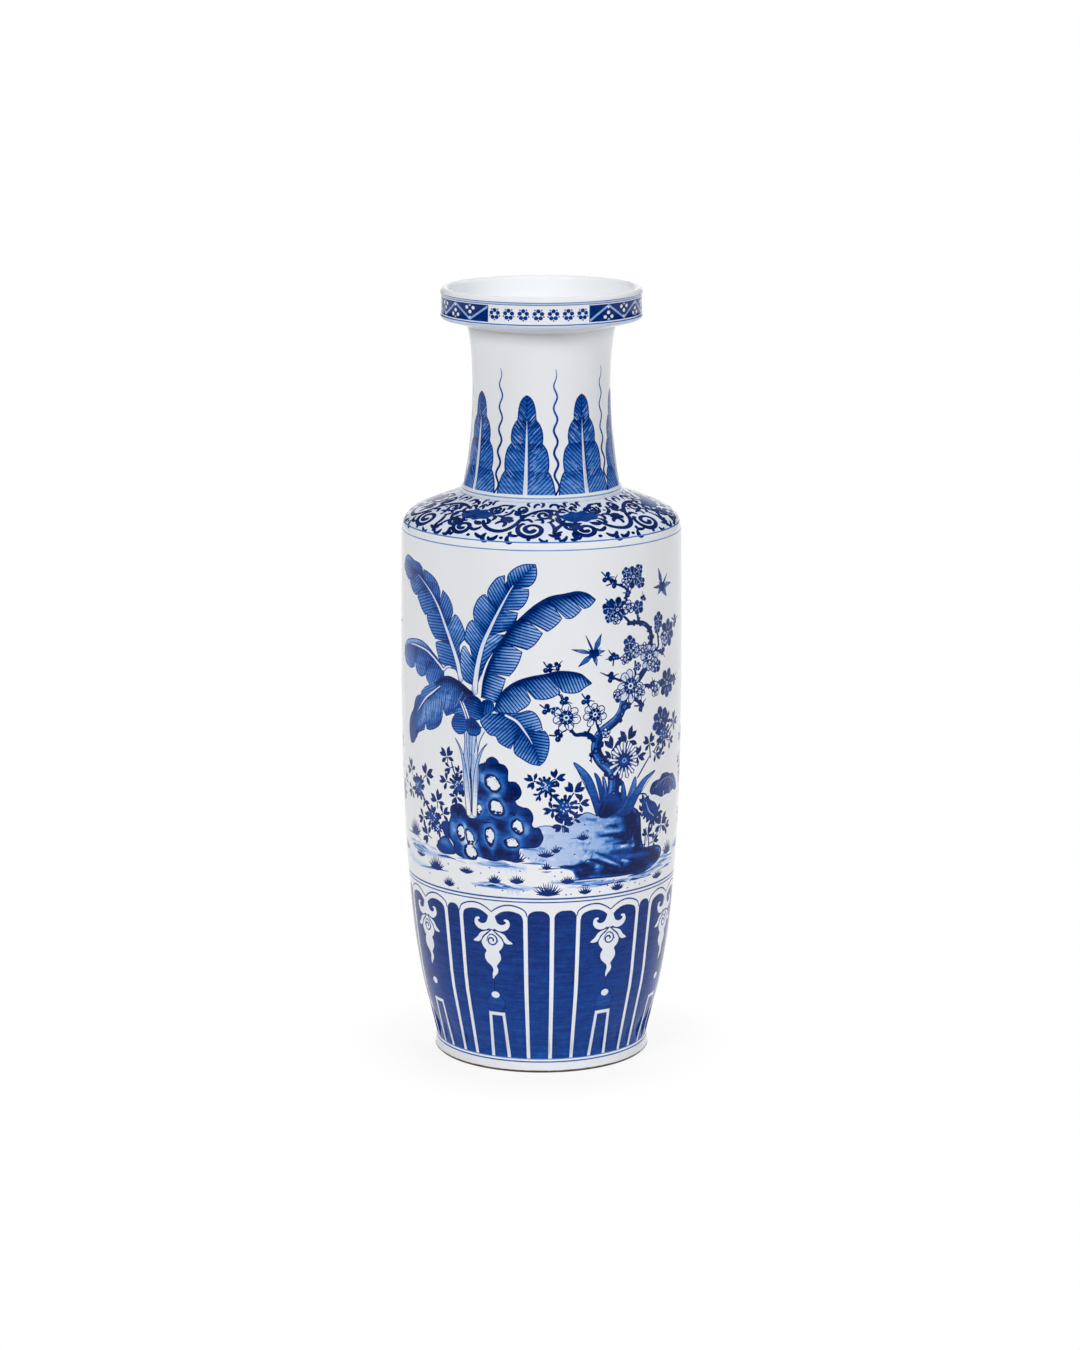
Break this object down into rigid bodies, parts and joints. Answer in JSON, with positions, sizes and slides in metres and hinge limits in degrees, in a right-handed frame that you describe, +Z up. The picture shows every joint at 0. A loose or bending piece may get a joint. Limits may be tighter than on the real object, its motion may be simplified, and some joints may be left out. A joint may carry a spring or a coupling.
{
  "type": "mallet vase",
  "caption": "Tall porcelain mallet vase with a near-cylindrical body, sloping shoulder, waisted neck, dished mouth and turned foot ring.",
  "frame": {"origin": "centre of the foot ring, on the surface that the vase stands on", "axes": "+Z up along the axis of the vase, -Y towards the side shown in the picture"},
  "size_m": [0.167, 0.167, 0.46],
  "materials": {
    "porcelain": "white porcelain under a clear glossy glaze, painted in cobalt blue",
    "slip": "fired porcelain slip in the luted joints"
  },
  "bodies": {
    "root": {"base_section": "porcelain", "lower_body_section": "porcelain", "upper_body_section": "porcelain", "shoulder_section": "porcelain", "neck_section": "porcelain", "mouth_section": "porcelain", "base_luting": "slip", "body_luting": "slip", "shoulder_luting": "slip", "neck_luting": "slip", "mouth_luting": "slip"}
  },
  "joints": []
}
